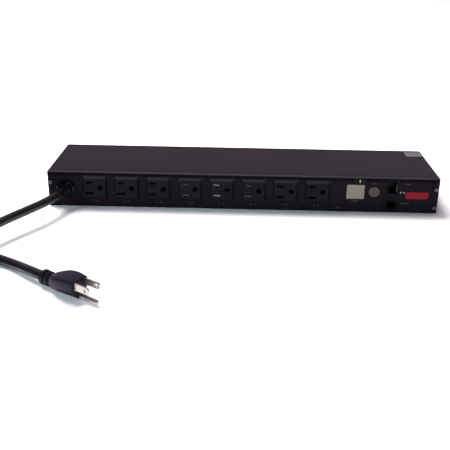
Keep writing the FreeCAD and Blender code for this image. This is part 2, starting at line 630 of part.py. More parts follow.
def plug_point(along, across, z):
    """A point on the plug: along its axis from the face, across it, and its height."""
    heading = V(math.cos(PLUG_HEADING), math.sin(PLUG_HEADING), 0)
    left = V(-math.sin(PLUG_HEADING), math.cos(PLUG_HEADING), 0)
    return V(PLUG_FACE.x, FRONT + PLUG_FACE.y, z) + heading * along + left * across


def plug_section(along, top_half, low_half, z0, z1):
    """Cross-section of the plug: wider at the blades than at the ground pin."""
    shape = [(-low_half, z0), (low_half, z0), (top_half, z0 + 0.6 * (z1 - z0)), (top_half - 1.5, z1),
             (1.5 - top_half, z1), (-top_half, z0 + 0.6 * (z1 - z0))]
    points = [plug_point(along, across, z) for across, z in shape]
    return Part.makePolygon(points + points[:1])


def plug_body():
    """Moulded plug: ribbed collar round the cord, neck and grip."""
    heading = V(math.cos(PLUG_HEADING), math.sin(PLUG_HEADING), 0)
    sections = [plug_section(-34, 6.0, 3.6, 2.6, 13.8), plug_section(-22, 11.8, 6.0, 0.4, 19.0),
                plug_section(-10, 11.8, 6.0, 0.4, 20.6), plug_section(0, 9.8, 5.0, 0.4, 19.8)]
    parts = [Part.makeLoft(sections, True, True)]
    parts.append(Part.makeCylinder(5.6, 13.0, plug_point(-PLUG_LENGTH, 0, PLUG_CORD_Z), heading))
    for along in (-PLUG_LENGTH + 0.6, -41.8, -38.0):
        parts.append(Part.makeCylinder(7.2, 2.4, plug_point(along, 0, PLUG_CORD_Z), heading))
    return joined(parts)


def plug_blades():
    """Two flat blades with a hole near each tip."""
    blades = []
    half_w, half_t, reach = 3.17, 0.76, 17.0
    z = PLUG_FACE.z
    for side in (-1, 1):
        across = side * BLADE_RISE
        outline = [(0, -half_w), (reach - 1.5, -half_w), (reach, -1.6), (reach, 1.6),
                   (reach - 1.5, half_w), (0, half_w)]
        points = [plug_point(along, across - half_t, z + rise) for along, rise in outline]
        left = V(-math.sin(PLUG_HEADING), math.cos(PLUG_HEADING), 0)
        blade = Part.Face(Part.makePolygon(points + points[:1])).extrude(left * (2 * half_t))
        hole = Part.makeCylinder(1.6, 6, plug_point(12.8, across - 3, z), left)
        blades.append(blade.cut(hole))
    return Part.makeCompound(blades)


def plug_ground_pin():
    """Round ground pin, a little longer than the blades, with a rounded tip."""
    heading = V(math.cos(PLUG_HEADING), math.sin(PLUG_HEADING), 0)
    z, radius, reach = PLUG_FACE.z - GROUND_DROP, 2.38, 20.5
    pin = Part.makeCylinder(radius, reach - radius, plug_point(0, 0, z), heading)
    return pin.fuse(Part.makeSphere(radius, plug_point(reach - radius, 0, z)))


# ---- All nodes ----------------------------------------------------------------------------------
def all_nodes():
    nodes = {
        "chassis_tray": chassis_tray(), "top_cover": top_cover(), "cover_screws": cover_screws(),
        "bracket_nuts": bracket_nuts(), "neutral_bus": neutral_bus(), "ground_bus": ground_bus(),
        "ground_nut": ground_nut(), "bus_insulator": bus_insulator(),
        "outlet_indicators": outlet_indicators(), "panel_indicators": panel_indicators(),
        "display_window": display_window(), "display_module": display_module(),
        "control_button": control_button(), "button_plunger": button_plunger(),
        "button_switch": button_switch(), "network_jack": network_jack(),
        "network_jack_contacts": network_jack_contacts(), "serial_jack": serial_jack(),
        "serial_jack_contacts": serial_jack_contacts(), "control_board": control_board(),
        "processor_chip": processor_chip(), "ribbon_cable": ribbon_cable(),
        "relay_board": relay_board(), "relays": relays(), "filter_capacitor": filter_capacitor(),
        "current_sensor": current_sensor(), "line_wire": line_wire(), "neutral_wire": neutral_wire(),
        "ground_wire": ground_wire(), "board_standoffs": board_standoffs(),
        "board_screws": board_screws(), "top_label": top_label(),
        "front_badge": badge(FRONT_BADGE, -BADGE), "rear_badge": badge(REAR_BADGE, BODY_DEPTH),
        "strain_relief": strain_relief(), "strain_relief_nut": strain_relief_nut(),
        "cord_lead": bent_tube(from_face(LEAD_ROUTE), CORD_R, "cord_lead"),
        "cord_coil": cord_coil(),
        "cord_tail": bent_tube(from_face(TAIL_ROUTE), CORD_R, "cord_tail"),
        "coil_tie": coil_tie(), "plug_body": plug_body(), "plug_blades": plug_blades(),
        "plug_ground_pin": plug_ground_pin(),
        "transformer": transformer(),
    }
    for number, x in enumerate(outlet_xs(), 1):
        nodes[f"outlet_{number}"] = outlet_housing(x)
        nodes[f"hot_contact_{number}"] = hot_contact(x)
    return nodes


def main():
    os.makedirs("parts", exist_ok=True)
    nodes = all_nodes()
    for name, shape in nodes.items():
        shape.exportStep(f"parts/{name}.step")
        good = shape.isValid() and all(s.isClosed() for s in shape.Shells)
        print(name, "solids", len(shape.Solids), "volume", round(shape.Volume), "" if good else "INVALID")
    print(len(nodes), "nodes")


main()
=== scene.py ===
import json
import math

import bmesh
import bpy
from mathutils import Matrix, Vector


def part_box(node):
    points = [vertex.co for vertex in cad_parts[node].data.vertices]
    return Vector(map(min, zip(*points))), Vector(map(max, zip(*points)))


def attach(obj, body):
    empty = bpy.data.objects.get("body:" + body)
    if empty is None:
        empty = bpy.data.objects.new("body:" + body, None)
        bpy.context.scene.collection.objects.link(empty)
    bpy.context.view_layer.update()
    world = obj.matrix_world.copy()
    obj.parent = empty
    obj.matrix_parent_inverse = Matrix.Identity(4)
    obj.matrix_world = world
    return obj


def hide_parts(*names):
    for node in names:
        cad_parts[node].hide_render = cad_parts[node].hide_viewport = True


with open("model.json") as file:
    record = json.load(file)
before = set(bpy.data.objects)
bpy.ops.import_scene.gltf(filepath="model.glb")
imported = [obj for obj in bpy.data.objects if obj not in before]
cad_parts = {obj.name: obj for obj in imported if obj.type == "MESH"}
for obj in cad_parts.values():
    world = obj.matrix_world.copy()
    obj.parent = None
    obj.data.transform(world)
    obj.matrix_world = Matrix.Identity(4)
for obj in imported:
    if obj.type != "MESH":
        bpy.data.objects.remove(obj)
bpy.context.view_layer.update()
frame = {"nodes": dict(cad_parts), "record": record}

# The strip lies along X, its outlet face looks towards -Y, and the floor is z = 0. Metres everywhere.
MM = 0.001
FACE_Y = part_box("chassis_tray")[0][1]      # the outlet face
REAR_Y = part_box("chassis_tray")[1][1]      # the blank long face
CASE_TOP = 0.042
GLAND = (-199.5, 21.0)                     # mm, x and z on the outlet face: where the cord leaves


def mm(x, y, z):
    """A point in metres from millimetres, with y measured from the outlet face."""
    return Vector((x * MM, FACE_Y + y * MM, z * MM))


# ---- Camera, floor and light --------------------------------------------------------------------
CAMERA_PLACE = (-5.55, -749.6, 302.5)      # mm, y from the outlet face
CAMERA_YAW, CAMERA_PITCH, CAMERA_ROLL = 1.04, -23.24, -0.85      # degrees
CAMERA_LENS, CAMERA_SENSOR = 56.81, 36.0                         # mm


def add_camera():
    data = bpy.data.cameras.new("camera")
    data.lens, data.sensor_width = CAMERA_LENS, CAMERA_SENSOR
    data.clip_start, data.clip_end = 0.01, 20.0
    camera = bpy.data.objects.new("camera", data)
    turn = (Matrix.Rotation(math.radians(CAMERA_YAW), 4, "Z")
            @ Matrix.Rotation(math.radians(CAMERA_PITCH), 4, "X")
            @ Matrix.Rotation(math.radians(CAMERA_ROLL), 4, "Y")
            @ Matrix.Rotation(math.radians(90), 4, "X"))
    camera.matrix_world = Matrix.Translation(mm(*CAMERA_PLACE)) @ turn
    bpy.context.collection.objects.link(camera)
    bpy.context.scene.camera = camera


LIGHTS = [                                 # name, place, what it looks at, size, watts, colour, glints
    ("overhead", (-0.9, 1.1, 2.3), (0, 0, 0), (2.0, 1.3), 165, (1.0, 0.95, 0.965), False),
    ("flash", (-0.07, -0.8, 0.32), (-0.05, FACE_Y, 0.02), (0.03, 0.03), 1.1, (0.8, 0.9, 1.0), True),
    ("fill", (-0.85, -0.75, 0.4), (-0.12, FACE_Y, 0.02), (0.4, 0.4), 5.0, (0.84, 0.95, 1.0), False),
]


def add_area(name, place, look_at, size, watts, colour, glints):
    data = bpy.data.lights.new(name, "AREA")
    data.shape, data.size, data.size_y = "RECTANGLE", size[0], size[1]
    data.energy, data.color = watts, colour
    light = bpy.data.objects.new(name, data)
    light.location = Vector(place)
    light.rotation_mode = "QUATERNION"
    light.rotation_quaternion = (Vector(look_at) - Vector(place)).to_track_quat("-Z", "Y")
    light.visible_glossy = glints
    bpy.context.collection.objects.link(light)


def add_lights():
    add_sky()
    for light in LIGHTS:
        add_area(*light)
    bpy.context.scene.view_settings.view_transform = "Standard"


SKY_LEAN = (0.0, 0.87, 0.5)                # towards the brightest part, low behind the strip
SKY = [                                    # how far round towards it, and the colour there
    (0.0, (0.07, 0.085, 0.105)), (0.3, (0.11, 0.115, 0.13)), (0.55, (0.23, 0.2, 0.22)),
    (0.75, (0.39, 0.33, 0.37)), (0.95, (0.755, 0.59, 0.65)),
]


def add_sky():
    """Studio dome: pale low behind the strip, and dim in front so that the dark case stays dark."""
    world = bpy.data.worlds.new("studio")
    bpy.context.scene.world = world
    world.use_nodes = True
    tree = world.node_tree
    lean, ramp = tree.nodes.new("ShaderNodeVectorMath"), tree.nodes.new("ShaderNodeValToRGB")
    lean.operation = "DOT_PRODUCT"
    lean.inputs[1].default_value = SKY_LEAN
    while len(ramp.color_ramp.elements) < len(SKY):
        ramp.color_ramp.elements.new(0.5)
    for element, (position, colour) in zip(ramp.color_ramp.elements, SKY):
        element.position, element.color = position, (*colour, 1)
    place = tree.nodes.new("ShaderNodeTexCoord").outputs["Generated"]
    tree.links.new(place, lean.inputs[0])
    tree.links.new(lean.outputs["Value"], ramp.inputs["Fac"])
    tree.links.new(ramp.outputs["Color"], tree.nodes["Background"].inputs["Color"])


FLOOR_HALF = 6.0


def add_floor():
    bm = bmesh.new()
    bmesh.ops.create_grid(bm, x_segments=8, y_segments=8, size=FLOOR_HALF)
    floor = mesh_object("studio_floor", bm)
    floor.data.materials.append(plain_floor())


# ---- Mesh helpers -------------------------------------------------------------------------------
def mesh_object(name, bm, smooth_below=None):
    """A mesh as an object. Edges flatter than smooth_below degrees are shaded smooth."""
    mesh = bpy.data.meshes.new(name)
    bmesh.ops.recalc_face_normals(bm, faces=bm.faces)
    bm.to_mesh(mesh)
    bm.free()
    if smooth_below:
        mesh.shade_smooth()
        mesh.set_sharp_from_angle(angle=math.radians(smooth_below))
    piece = bpy.data.objects.new(name, mesh)
    bpy.context.collection.objects.link(piece)
    return piece


def loft(bm, loops, round_again=False):
    """Skin over loops of one point count, capped at both ends or joined from the last to the first."""
    rings = [[bm.verts.new(point) for point in loop] for loop in loops]
    count = len(rings[0])
    following = rings[1:] + rings[:1] if round_again else rings[1:]
    for near, far in zip(rings, following):
        for k in range(count):
            bm.faces.new((near[k], near[(k + 1) % count], far[(k + 1) % count], far[k]))
    if not round_again:
        bm.faces.new(rings[0][::-1])
        bm.faces.new(rings[-1])


def lathe(bm, start, axis, profile, sides=72):
    """A turned form: profile is (distance along the axis, radius)."""
    axis = axis.normalized()
    side = axis.orthogonal().normalized()
    up = axis.cross(side)
    loops = []
    for distance, radius in profile:
        centre = start + axis * (distance * MM)
        turns = (2 * math.pi * k / sides for k in range(sides))
        loops.append([centre + (side * math.cos(t) + up * math.sin(t)) * (radius * MM) for t in turns])
    loft(bm, loops)


def block(bm, low, high, bevel=0.0):
    """A box between two corners, with its edges bevelled."""
    made = bmesh.ops.create_cube(bm, size=1.0)["verts"]
    low, high = Vector(low), Vector(high)
    for vert in made:
        vert.co = Vector(low[k] + (vert.co[k] + 0.5) * (high[k] - low[k]) for k in range(3))
    if bevel:
        edges = {edge for vert in made for edge in vert.link_edges}
        bmesh.ops.bevel(bm, geom=list(edges), offset=bevel * MM, segments=2, profile=0.5, affect="EDGES")


def finish_piece(piece, body, material):
    piece.data.materials.append(material)
    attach(piece, body)


# ---- Materials ----------------------------------------------------------------------------------
class Surface:
    """A Principled material with the procedural nodes that feed it."""

    def __init__(self, name, roughness=0.5, **fixed):
        self.material = bpy.data.materials.new(name)
        self.material.use_nodes = True
        self.tree = self.material.node_tree
        self.shader = self.tree.nodes["Principled BSDF"]
        self.shader.inputs["Roughness"].default_value = roughness
        for socket, value in fixed.items():
            self.shader.inputs[socket.replace("_", " ")].default_value = value
        self.place = self.tree.nodes.new("ShaderNodeTexCoord").outputs["Object"]

    def node(self, kind, **inputs):
        made = self.tree.nodes.new(kind)
        for socket, value in inputs.items():
            self.feed(made.inputs[socket.replace("_", " ")], value)
        return made

    def feed(self, socket, value):
        if isinstance(value, bpy.types.NodeSocket):
            self.tree.links.new(value, socket)
        else:
            socket.default_value = value

    def stretched(self, scale):
        """The place, scaled along each axis, for grain that runs one way."""
        mapping = self.node("ShaderNodeMapping", Vector=self.place)
        mapping.inputs["Scale"].default_value = scale
        return mapping.outputs["Vector"]

    def noise(self, scale, detail, roughness=0.55, place=None):
        made = self.node("ShaderNodeTexNoise", Vector=place or self.place, Scale=scale, Detail=detail,
                         Roughness=roughness)
        return made.outputs["Fac"]

    def spread(self, value, low, high, from_low=0.3, from_high=0.7):
        made = self.node("ShaderNodeMapRange")
        for socket, setting in (("Value", value), ("From Min", from_low), ("From Max", from_high),
                                ("To Min", low), ("To Max", high)):
            self.feed(made.inputs[socket], setting)
        return made.outputs["Result"]

    def blend(self, amount, first, second):
        made = self.tree.nodes.new("ShaderNodeMix")
        made.data_type = "RGBA"
        self.feed(made.inputs["Factor"], amount)
        self.feed(made.inputs["A"], (*first, 1) if isinstance(first, tuple) else first)
        self.feed(made.inputs["B"], (*second, 1) if isinstance(second, tuple) else second)
        return made.outputs["Result"]

    def product(self, first, second):
        made = self.node("ShaderNodeMath")
        made.operation = "MULTIPLY"
        self.feed(made.inputs[0], first)
        self.feed(made.inputs[1], second)
        return made.outputs["Value"]

    def nearness(self, centre, reach, axes):
        """1 at the centre, falling to 0 at the reach, counted along the given axes only."""
        shift = self.node("ShaderNodeMapping", Vector=self.place)
        shift.inputs["Location"].default_value = [-c / reach * used for c, used in zip(centre, axes)]
        shift.inputs["Scale"].default_value = [used / reach for used in axes]
        made = self.node("ShaderNodeTexGradient", Vector=shift.outputs["Vector"])
        made.gradient_type = "SPHERICAL"
        return made.outputs["Fac"]

    def colour(self, value):
        self.feed(self.shader.inputs["Base Color"], value)

    def roughness(self, value):
        self.feed(self.shader.inputs["Roughness"], value)

    def bump(self, height, depth):
        made = self.node("ShaderNodeBump", Height=height, Distance=depth)
        self.feed(self.shader.inputs["Normal"], made.outputs["Normal"])

    def clouded(self, dark, light):
        """Two close colours in soft clouds."""
        return self.blend(self.spread(self.noise(28, 3), 0.0, 1.0), dark, light)

    def grain(self, scale, roughness):
        """A fine grain, in the gloss and in the relief."""
        fine = self.noise(scale, 2)
        self.roughness(self.spread(fine, roughness - 0.05, roughness + 0.06))
        self.bump(fine, GRAIN_DEPTH)

    def drawn_lines(self):
        return self.noise(1.0, 5, place=self.stretched(LINES_ALONG_X))


FINE_GRAIN, GRAIN_DEPTH = 1500, 0.00003
LINES_ALONG_X, LINE_DEPTH = (40, 900, 900), 0.00002


def moulded(name, dark, light, roughness, grain=FINE_GRAIN, **fixed):
    """Painted, moulded or cast surface: close colours clouded together over a fine grain."""
    made = Surface(name, **fixed)
    made.colour(made.clouded(dark, light))
    made.grain(grain, roughness)
    return made.material


def brushed(name, dark, light, roughness):
    """Metal with fine drawn lines."""
    made = Surface(name, Metallic=1.0)
    lines = made.drawn_lines()
    made.colour(made.blend(made.spread(lines, 0.0, 1.0), dark, light))
    made.roughness(made.spread(lines, roughness - 0.06, roughness + 0.08))
    made.bump(lines, LINE_DEPTH)
    return made.material


TARNISHED = (0.1, 0.094, 0.085), (0.17, 0.16, 0.145)
# Painted glint on the contacts of the middle outlets: its pale tones, then its middle and its reach.
GLINT_TONES = (0.75, 0.74, 0.68), (0.95, 0.93, 0.87)
GLINT_X, GLINT_REACH = -0.028, 0.058          # where the painted glint sits, over the middle outlets


def contact_metal():
    """Brass, tarnished dark, with a painted glint at the middle outlets: pale and matt there."""
    made = Surface("contact_brass")
    lines = made.drawn_lines()
    dull, bright = (made.blend(made.spread(lines, 0.0, 1.0), *tones) for tones in (TARNISHED, GLINT_TONES))
    # Painted glint: pale, matt and less metallic at the middle outlets.
    painted_highlight = made.spread(made.nearness((GLINT_X, 0, 0), GLINT_REACH, (1, 0, 0)), 0.0, 1.0, 0.0, 0.8)
    made.colour(made.blend(painted_highlight, dull, bright))
    made.roughness(made.spread(painted_highlight, 0.28, 0.6, 0.0, 1.0))
    made.feed(made.shader.inputs["Metallic"], made.spread(painted_highlight, 1.0, 0.3, 0.0, 1.0))
    made.bump(lines, LINE_DEPTH)
    return made.material


SHOULDER, SHOULDER_BLEND = 0.0338, 0.0008       # height where the painted highlight on the blocks' upper edge starts
# Painted highlight on the blocks' upper edge: its tone.
BLOCK_HIGHLIGHT_TONE = (0.02, 0.0193, 0.0233)


def outlet_plastic():
    """Dark moulded plastic, greyer along the upper edge of each block: a painted highlight."""
    made = Surface("outlet_plastic", Specular_IOR_Level=0.05)
    tone = made.clouded((0.0044, 0.0043, 0.0064), (0.006, 0.0058, 0.0084))
    height = made.node("ShaderNodeSeparateXYZ", Vector=made.place).outputs["Z"]
    # Painted highlight along the upper edge of each block.
    highlight_band = made.spread(height, 0.0, 1.0, SHOULDER, SHOULDER + SHOULDER_BLEND)
    made.colour(made.blend(highlight_band, tone, BLOCK_HIGHLIGHT_TONE))
    made.grain(FINE_GRAIN, 0.34)
    return made.material


BUTTON_RIM = 6.0
# The darker tone is painted shade, in the cap's ring groove and its dish.
BUTTON_TONE, GROOVE_SHADE_TONE = (0.078, 0.065, 0.053), (0.04, 0.036, 0.028)
BUTTON_BANDS = [(3.9, GROOVE_SHADE_TONE), (3.2, BUTTON_TONE), (1.5, GROOVE_SHADE_TONE)]     # inwards from a radius


def button_plastic():
    """The grey cap, darker in its ring and in its dish: painted shade in these hollows."""
    made = Surface("button_plastic", Specular_IOR_Level=0.2)
    low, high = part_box("control_button")
    centre = [(a + b) / 2 for a, b in zip(low, high)]
    bands = made.node("ShaderNodeValToRGB", Fac=made.nearness(centre, BUTTON_RIM * MM, (1, 0, 1)))
    ramp = bands.color_ramp
    ramp.interpolation = "CONSTANT"
    ramp.elements.remove(ramp.elements[1])
    ramp.elements[0].color = (*BUTTON_TONE, 1)
    for radius, tone in BUTTON_BANDS:
        ramp.elements.new(1 - radius / BUTTON_RIM).color = (*tone, 1)
    made.colour(made.blend(made.spread(made.noise(28, 3), 0.0, 0.25), bands.outputs["Color"], BUTTON_TONE))
    made.grain(FINE_GRAIN, 0.42)
    return made.material


def plain_floor():
    made = Surface("studio_paper", 0.9, Specular_IOR_Level=0.2)
    made.colour(made.blend(made.noise(3, 2), (0.93, 0.93, 0.93), (0.95, 0.95, 0.95)))
    return made.material


PAINT_TONES = (0.0068, 0.0059, 0.0082), (0.0092, 0.0081, 0.0109)
# The second tone is a painted shadow under the front top edge, the third a painted highlight along both
# long top edges.
SPECK_TONE, LIP_SHADOW_TONE, EDGE_HIGHLIGHT_TONE = (0.03, 0.024, 0.028), (0.0015, 0.001, 0.002), (0.056, 0.051, 0.055)
LIP_SHADOW_DROP, LIP_SHADOW_REACH = 0.0033, 0.0024        # painted shadow below the front top edge: how far below it, and its reach
# Painted highlight along both long top edges: how far it reaches.
EDGE_HIGHLIGHT_REACH = 0.0019


def case_paint():
    """Satin powder coat: brownish black, with a slight orange peel and pale specks in it. A painted
    highlight runs pale along both long top edges, and a painted shadow lies dark under the front one."""
    made = Surface("case_paint", Specular_IOR_Level=0.025, Specular_Tint=(1.0, 0.78, 0.9, 1.0))
    clouds, peel, speck = made.noise(7, 3), made.noise(620, 2), made.noise(2600, 1)
    tone = made.blend(made.spread(clouds, 0.0, 1.0), *PAINT_TONES)
    tone = made.blend(made.spread(speck, 0.0, 0.3, 0.6, 0.8), tone, SPECK_TONE)
    # Painted shadow under the front top edge.
    lip_shadow = made.nearness((0, FACE_Y, CASE_TOP - LIP_SHADOW_DROP), LIP_SHADOW_REACH, (0, 1, 1))
    tone = made.blend(made.spread(lip_shadow, 0.0, 0.75, 0.0, 0.4), tone, LIP_SHADOW_TONE)
    # Painted highlight along both long top edges.
    for long_face in (FACE_Y, REAR_Y):
        painted_highlight = made.nearness((0, long_face, CASE_TOP), EDGE_HIGHLIGHT_REACH, (0, 1, 1))
        tone = made.blend(made.spread(painted_highlight, 0.0, 1.0, 0.0, 0.6), tone, EDGE_HIGHLIGHT_TONE)
    made.colour(tone)
    made.roughness(made.spread(peel, 0.33, 0.42))
    made.bump(peel, GRAIN_DEPTH)
    return made.material


# Painted shade on the cord beside the case: its reach from the gland, and its tone.
CORD_SHADE_REACH, CORD_SHADE_TONE = 0.07, (0.001, 0.0008, 0.0018)


def cord_vinyl(name="cord_jacket", dark=(0.0034, 0.003, 0.0048), light=(0.009, 0.0078, 0.0115),
               gloss=0.42, smooth=0.27):
    """Smooth vinyl with dusty scuffs, and painted shade beside the case: darker and duller there."""
    made = Surface(name, Specular_IOR_Level=gloss)
    scuffs, fine = made.noise(180, 4, 0.7), made.noise(1800, 2)
    beside_case = made.nearness((GLAND[0] * MM, FACE_Y, GLAND[1] * MM), CORD_SHADE_REACH, (1, 1, 1))
    # Painted shade: darker and duller near the gland.
    shaded_by_case = made.spread(beside_case, 0.0, 1.0, 0.1, 0.6)
    tone = made.blend(made.spread(scuffs, 0.0, 1.0, 0.5, 0.75), dark, light)
    made.colour(made.blend(shaded_by_case, tone, CORD_SHADE_TONE))
    made.roughness(made.spread(shaded_by_case, made.spread(scuffs, smooth, smooth + 0.13), 0.5, 0.0, 1.0))
    made.bump(fine, GRAIN_DEPTH)
    return made.material


WEAVE_DEPTH = 0.00025


def hook_and_loop():
    """Woven strap: fine crossed ribs under a fuzz."""
    made = Surface("tie_fabric", 0.9, Specular_IOR_Level=0.2, Sheen_Weight=0.35, Sheen_Roughness=0.5)
    ribs = made.node("ShaderNodeTexWave", Vector=made.place, Scale=420, Distortion=1.5, Detail=2)
    ribs.bands_direction = "Y"
    fuzz = made.noise(2400, 3, 0.7)
    mixed = made.spread(made.product(ribs.outputs["Fac"], fuzz), 0.0, 1.0)
    made.colour(made.blend(mixed, (0.008, 0.008, 0.009), (0.03, 0.03, 0.033)))
    made.bump(mixed, WEAVE_DEPTH)
    return made.material


MATERIALS = {
    "case_paint": case_paint,
    "screw_steel": lambda: brushed("screw_steel", (0.05, 0.05, 0.053), (0.1, 0.1, 0.105), 0.2),
    "plain_steel": lambda: brushed("plain_steel", (0.4, 0.4, 0.41), (0.55, 0.55, 0.56), 0.35),
    "outlet_plastic": outlet_plastic,
    "contact_brass": contact_metal,
    "insulator_fibre": lambda: moulded("insulator_fibre", (0.14, 0.12, 0.1), (0.2, 0.18, 0.15), 0.8, 400),
    "outlet_lens": lambda: moulded("outlet_lens", (0.014, 0.013, 0.016), (0.022, 0.02, 0.024), 0.25, 300,
                                   Specular_IOR_Level=0.2),
    "panel_lens": lambda: moulded("panel_lens", (0.006, 0.007, 0.0045), (0.009, 0.0105, 0.007), 0.2, 300,
                                  Specular_IOR_Level=0.15),
    "display_window": lambda: moulded("display_window", (0.19, 0.166, 0.124), (0.211, 0.184, 0.138), 0.3,
                                      500, Specular_IOR_Level=0.3),
    "display_case": lambda: moulded("display_case", (0.1, 0.1, 0.11), (0.14, 0.14, 0.15), 0.5),
    "button_plastic": button_plastic,
    "switch_plastic": lambda: moulded("switch_plastic", (0.02, 0.02, 0.022), (0.035, 0.035, 0.04), 0.45),
    "jack_plastic": lambda: moulded("jack_plastic", (0.0022, 0.0022, 0.003), (0.0034, 0.0034, 0.0045), 0.3,
                                    Specular_IOR_Level=0.05),
    "contact_gold": lambda: brushed("contact_gold", (0.36, 0.3, 0.18), (0.48, 0.41, 0.27), 0.25),
    "board_laminate": lambda: moulded("board_laminate", (0.015, 0.11, 0.04), (0.03, 0.16, 0.07), 0.35, 300),
    "chip_epoxy": lambda: moulded("chip_epoxy", (0.02, 0.02, 0.02), (0.035, 0.035, 0.035), 0.6),
    "relay_case": lambda: moulded("relay_case", (0.03, 0.08, 0.3), (0.05, 0.12, 0.38), 0.35),
    "transformer_steel": lambda: brushed("transformer_steel", (0.2, 0.18, 0.16), (0.34, 0.3, 0.26), 0.45),
    "capacitor_sleeve": lambda: moulded("capacitor_sleeve", (0.02, 0.02, 0.08), (0.03, 0.03, 0.12), 0.25),
    "sensor_case": lambda: moulded("sensor_case", (0.03, 0.03, 0.04), (0.05, 0.05, 0.06), 0.4),
    "wire_black": lambda: moulded("wire_black", (0.01, 0.01, 0.01), (0.02, 0.02, 0.02), 0.4),
    "wire_white": lambda: moulded("wire_white", (0.65, 0.65, 0.62), (0.78, 0.78, 0.75), 0.4),
    "wire_green": lambda: moulded("wire_green", (0.02, 0.22, 0.05), (0.03, 0.3, 0.08), 0.4),
    "ribbon_grey": lambda: moulded("ribbon_grey", (0.35, 0.35, 0.36), (0.45, 0.45, 0.46), 0.5),
    "label_foil": lambda: moulded("label_foil", (0.1, 0.088, 0.094), (0.128, 0.113, 0.12), 0.5, 900,
                                  Specular_IOR_Level=0.03),
    "badge_red": lambda: moulded("badge_red", (0.19, 0.0075, 0.0155), (0.24, 0.01, 0.021), 0.45,
                                 Specular_IOR_Level=0.08),
    "relief_rubber": lambda: moulded("relief_rubber", (0.0015, 0.0015, 0.0024), (0.003, 0.0029, 0.0042),
                                     0.22, Specular_IOR_Level=0.14),
    "cord_jacket": cord_vinyl,
    "tie_fabric": hook_and_loop,
    "plug_vinyl": lambda: cord_vinyl("plug_vinyl", (0.0066, 0.0062, 0.0115), (0.0108, 0.01, 0.0175),
                                     gloss=0.14, smooth=0.42),
    "blade_nickel": lambda: brushed("blade_nickel", (0.5, 0.44, 0.42), (0.62, 0.56, 0.535), 0.42),
}
finishes = {slot: make() for slot, make in MATERIALS.items()}
own_finish = {"ground_bus": brushed("ground_brass", *TARNISHED, 0.3)}


def dress_cad_nodes():
    """Every node carried over from the frame takes its slot's finish, or its own."""
    for entry in frame["record"]["subparts"]:
        node = frame["nodes"][entry["node"]]
        node.data.materials.clear()
        node.data.materials.append(own_finish.get(entry["node"]) or finishes[entry["material_slot"]])


# ---- Cord ---------------------------------------------------------------------------------------
CORD_R = 4.75
COIL_CENTRE = (-327.2, -184.2)
COIL_OUT, COIL_IN, TURN_PITCH = 78.4, 38.1, 9.6     # radii of the cord's centre line
COIL_TURNS, TOP_TURNS, DROP_TURNS = 8 + 300 / 360, 4.2, 0.43
DROP_TUCK = 1.3                                     # how far the cord pulls inwards where it drops
TOP_Z, FLOOR_Z = 14.3, 4.8
STEPS = 24                                          # points in each turn
TIE_LIFT, TIE_REACH = 1.0, 14.0                     # rise over the tie's strap, and its reach in degrees
LEAD_ROUTE = [
    (-204.16, -20.39, 21.0), (-208.88, -38.0, 21.0), (-226.0, -66.5, 20.2), (-246.5, -98.5, 19.0),
    (-255.5, -127.0, 18.4), (-253.5, -157.0, 16.4),
]
TAIL_ROUTE = [
    (-263.5, -130.0, 4.8), (-240.4, -144.0, 4.8), (-222.0, -154.3, 4.8),
    (-205.6, -165.6, 5.6), (-190.9, -179.9, 8.2), (-176.43, -189.61, 8.2),
]


def coil_route():
    """Clockwise turns: inwards on the upper layer, down at the middle, outwards on the floor."""
    route = []
    for k in range(round(COIL_TURNS * STEPS) + 1):
        turn = k / STEPS
        drop = min(max((turn - TOP_TURNS) / DROP_TURNS, 0.0), 1.0)
        outwards = turn - TOP_TURNS - DROP_TURNS
        radius = COIL_OUT - TURN_PITCH * turn if turn < TOP_TURNS else COIL_IN
        radius = COIL_IN + TURN_PITCH * outwards if outwards > 0 else radius
        radius -= DROP_TUCK * math.sin(math.pi * drop)
        z = TOP_Z + (FLOOR_Z - TOP_Z) * (1 - math.cos(math.pi * drop)) / 2
        angle = -2 * math.pi * turn
        off_tie = math.degrees(abs(math.remainder(angle - math.pi, 2 * math.pi)))
        z += TIE_LIFT * math.exp(-((off_tie / TIE_REACH) ** 2))
        x, y = COIL_CENTRE[0] + radius * math.cos(angle), COIL_CENTRE[1] + radius * math.sin(angle)
        route.append((x, y, z))
    return route


def cord_piece(relief, plug, tie):
    """The whole cord on one smooth curve. The pieces that lie on it are passed in and not used."""
    curve = bpy.data.curves.new("supply_cord", "CURVE")
    curve.dimensions = "3D"
    curve.bevel_depth, curve.bevel_resolution, curve.use_fill_caps = CORD_R * MM, 6, True
    spline = curve.splines.new("NURBS")
    route = LEAD_ROUTE + coil_route() + TAIL_ROUTE
    spline.points.add(len(route) - 1)
    for point, place in zip(spline.points, route):
        point.co = (*mm(*place), 1.0)
    spline.order_u = 3
    spline.use_endpoint_u = True
    spline.resolution_u = 6
    piece = bpy.data.objects.new("supply_cord", curve)
    bpy.context.collection.objects.link(piece)
    finish_piece(piece, "case", finishes["cord_jacket"])
    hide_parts("cord_lead", "cord_coil", "cord_tail")


# ---- Strain relief ------------------------------------------------------------------------------
COLLAR = [                                 # out from the face, radius
    (-14.5, 7.4), (-14.0, 7.9), (0.0, 7.9), (0.0, 10.8), (1.5, 10.8), (2.4, 10.5), (3.0, 9.9),
    (3.4, 9.0), (3.2, 8.4), (2.5, 8.2), (2.5, 7.0),
]
NOSE_TURN = math.radians(15)
NOSE_START, NOSE_LENGTH = 1.5, 18.0        # out from the face
NOSE_ROOT = [(0.0, 7.6), (3.6, 7.3)]       # along, radius
NOSE_END = [(0.9, 5.45), (0.2, 5.25), (0.0, 4.9)]      # back from the end, radius
RINGS, RING_START, RING_PITCH = 4, 4.4, 3.0
RING_R, RING_TAPER = 7.25, 0.11
RING_SHAPE = [(0.0, 0.0), (0.35, -0.75), (1.15, -0.85), (1.5, -0.15)]      # along, change of radius


